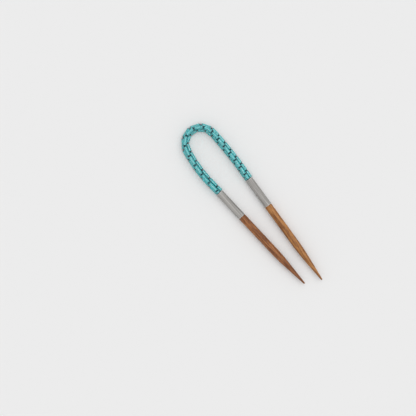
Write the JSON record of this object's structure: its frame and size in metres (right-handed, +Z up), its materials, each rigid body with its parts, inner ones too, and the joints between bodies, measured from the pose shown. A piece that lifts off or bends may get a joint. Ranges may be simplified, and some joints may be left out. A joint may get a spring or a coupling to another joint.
{
  "type": "stitch marker",
  "caption": "Flexible loop stitch marker: a beaded, wire-cored U whose two ends carry metal ferrules and tapered wooden points, to slip stitches on from either end.",
  "frame": {"origin": "centre of the marker's footprint on the table it lies on", "axes": "+Y runs from the two points to the crown of the loop, +Z is up from the table, +X is towards the right leg"},
  "size_m": [0.0154, 0.073, 0.003],
  "materials": {
    "bead_glass": "clear teal glass, silver lined, polished",
    "ferrule_metal": "satin drawn tube",
    "point_wood": "polished amber brown hardwood, oiled",
    "wire_steel": "coated stranded beading wire",
    "thread_fibre": "dark teal twisted beading thread",
    "plug_resin": "dark moulded plug"
  },
  "bodies": {
    "crown": {"outer_bead_08": "bead_glass", "inner_bead_09": "bead_glass", "top_bead_09": "bead_glass", "core_wire": "wire_steel", "outer_thread": "thread_fibre", "inner_thread": "thread_fibre", "top_thread": "thread_fibre"},
    "right_course_1": {"outer_bead_07": "bead_glass", "inner_bead_08": "bead_glass", "top_bead_08": "bead_glass"},
    "right_course_2": {"outer_bead_06": "bead_glass", "inner_bead_07": "bead_glass", "top_bead_07": "bead_glass"},
    "right_course_3": {"outer_bead_05": "bead_glass", "inner_bead_06": "bead_glass", "top_bead_06": "bead_glass"},
    "right_course_4": {"outer_bead_04": "bead_glass", "inner_bead_05": "bead_glass", "top_bead_05": "bead_glass"},
    "right_course_5": {"outer_bead_03": "bead_glass", "inner_bead_04": "bead_glass", "top_bead_04": "bead_glass"},
    "right_course_6": {"outer_bead_02": "bead_glass", "inner_bead_03": "bead_glass", "top_bead_03": "bead_glass"},
    "right_course_7": {"outer_bead_01": "bead_glass", "inner_bead_02": "bead_glass", "top_bead_02": "bead_glass"},
    "right_end": {"inner_bead_01": "bead_glass", "top_bead_01": "bead_glass", "right_ferrule": "ferrule_metal", "right_end_plug": "plug_resin", "right_wooden_point": "point_wood"},
    "left_course_1": {"outer_bead_09": "bead_glass", "inner_bead_10": "bead_glass", "top_bead_10": "bead_glass"},
    "left_course_2": {"outer_bead_10": "bead_glass", "inner_bead_11": "bead_glass", "top_bead_11": "bead_glass"},
    "left_course_3": {"outer_bead_11": "bead_glass", "inner_bead_12": "bead_glass", "top_bead_12": "bead_glass"},
    "left_course_4": {"outer_bead_12": "bead_glass", "inner_bead_13": "bead_glass", "top_bead_13": "bead_glass"},
    "left_course_5": {"outer_bead_13": "bead_glass", "inner_bead_14": "bead_glass", "top_bead_14": "bead_glass"},
    "left_course_6": {"outer_bead_14": "bead_glass", "inner_bead_15": "bead_glass", "top_bead_15": "bead_glass"},
    "left_course_7": {"outer_bead_15": "bead_glass", "inner_bead_16": "bead_glass", "top_bead_16": "bead_glass"},
    "left_end": {"outer_bead_16": "bead_glass", "inner_bead_17": "bead_glass", "top_bead_17": "bead_glass", "left_ferrule": "ferrule_metal", "left_end_plug": "plug_resin", "left_wooden_point": "point_wood"}
  },
  "joints": [
    {"name": "right_leg_flex", "type": "hinge", "parent": "crown", "child": "right_course_1", "pos_m": [0.00555, 0.03192, 0.00137], "axis": [0, 0, 1], "range_deg": [-0.28, 5.5], "stiffness_Nm_per_rad": 0.01, "deforming": ["core_wire", "outer_thread", "inner_thread", "top_thread"]},
    {"name": "right_leg_flex_2", "type": "hinge", "parent": "right_course_1", "child": "right_course_2", "pos_m": [0.0062, 0.02856, 0.00137], "axis": [0, 0, 1], "range_deg": [-0.29, 5.28]},
    {"name": "right_leg_flex_3", "type": "hinge", "parent": "right_course_2", "child": "right_course_3", "pos_m": [0.00623, 0.02519, 0.00137], "axis": [0, 0, 1], "range_deg": [-0.27, 5.01]},
    {"name": "right_leg_flex_4", "type": "hinge", "parent": "right_course_3", "child": "right_course_4", "pos_m": [0.00618, 0.0219, 0.00137], "axis": [0, 0, 1], "range_deg": [-0.26, 4.74]},
    {"name": "right_leg_flex_5", "type": "hinge", "parent": "right_course_4", "child": "right_course_5", "pos_m": [0.00607, 0.01869, 0.00137], "axis": [0, 0, 1], "range_deg": [-0.25, 4.49]},
    {"name": "right_leg_flex_6", "type": "hinge", "parent": "right_course_5", "child": "right_course_6", "pos_m": [0.00589, 0.01555, 0.00137], "axis": [0, 0, 1], "range_deg": [-0.23, 4.23]},
    {"name": "right_leg_flex_7", "type": "hinge", "parent": "right_course_6", "child": "right_course_7", "pos_m": [0.00564, 0.01245, 0.00137], "axis": [0, 0, 1], "range_deg": [-0.22, 3.98]},
    {"name": "right_leg_flex_8", "type": "hinge", "parent": "right_course_7", "child": "right_end", "pos_m": [0.00536, 0.00938, 0.00137], "axis": [0, 0, 1], "range_deg": [-0.21, 3.74]},
    {"name": "left_leg_flex", "type": "hinge", "parent": "crown", "child": "left_course_1", "pos_m": [0.00306, 0.03439, 0.00137], "axis": [0, 0, -1], "range_deg": [-0.28, 5.5], "stiffness_Nm_per_rad": 0.01},
    {"name": "left_leg_flex_2", "type": "hinge", "parent": "left_course_1", "child": "left_course_2", "pos_m": [-0.0005, 0.03492, 0.00137], "axis": [0, 0, -1], "range_deg": [-0.3, 5.59]},
    {"name": "left_leg_flex_3", "type": "hinge", "parent": "left_course_2", "child": "left_course_3", "pos_m": [-0.00373, 0.03315, 0.00137], "axis": [0, 0, -1], "range_deg": [-0.29, 5.45]},
    {"name": "left_leg_flex_4", "type": "hinge", "parent": "left_course_3", "child": "left_course_4", "pos_m": [-0.00527, 0.02969, 0.00137], "axis": [0, 0, -1], "range_deg": [-0.28, 5.17]},
    {"name": "left_leg_flex_5", "type": "hinge", "parent": "left_course_4", "child": "left_course_5", "pos_m": [-0.00594, 0.02583, 0.00137], "axis": [0, 0, -1], "range_deg": [-0.27, 4.86]},
    {"name": "left_leg_flex_6", "type": "hinge", "parent": "left_course_5", "child": "left_course_6", "pos_m": [-0.00632, 0.02187, 0.00137], "axis": [0, 0, -1], "range_deg": [-0.25, 4.54]},
    {"name": "left_leg_flex_7", "type": "hinge", "parent": "left_course_6", "child": "left_course_7", "pos_m": [-0.00638, 0.01784, 0.00137], "axis": [0, 0, -1], "range_deg": [-0.23, 4.21]},
    {"name": "left_leg_flex_8", "type": "hinge", "parent": "left_course_7", "child": "left_end", "pos_m": [-0.00614, 0.01379, 0.00137], "axis": [0, 0, -1], "range_deg": [-0.21, 3.88]}
  ],
  "couplings": [
    {"joint": "right_leg_flex_2", "follows": "right_leg_flex", "ratio": 0.9508},
    {"joint": "right_leg_flex_3", "follows": "right_leg_flex", "ratio": 0.9015},
    {"joint": "right_leg_flex_4", "follows": "right_leg_flex", "ratio": 0.8535},
    {"joint": "right_leg_flex_5", "follows": "right_leg_flex", "ratio": 0.8066},
    {"joint": "right_leg_flex_6", "follows": "right_leg_flex", "ratio": 0.7606},
    {"joint": "right_leg_flex_7", "follows": "right_leg_flex", "ratio": 0.7153},
    {"joint": "right_leg_flex_8", "follows": "right_leg_flex", "ratio": 0.6704},
    {"joint": "left_leg_flex_2", "follows": "left_leg_flex", "ratio": 1.0078},
    {"joint": "left_leg_flex_3", "follows": "left_leg_flex", "ratio": 0.9817},
    {"joint": "left_leg_flex_4", "follows": "left_leg_flex", "ratio": 0.9307},
    {"joint": "left_leg_flex_5", "follows": "left_leg_flex", "ratio": 0.8738},
    {"joint": "left_leg_flex_6", "follows": "left_leg_flex", "ratio": 0.8154},
    {"joint": "left_leg_flex_7", "follows": "left_leg_flex", "ratio": 0.756},
    {"joint": "left_leg_flex_8", "follows": "left_leg_flex", "ratio": 0.6963}
  ]
}
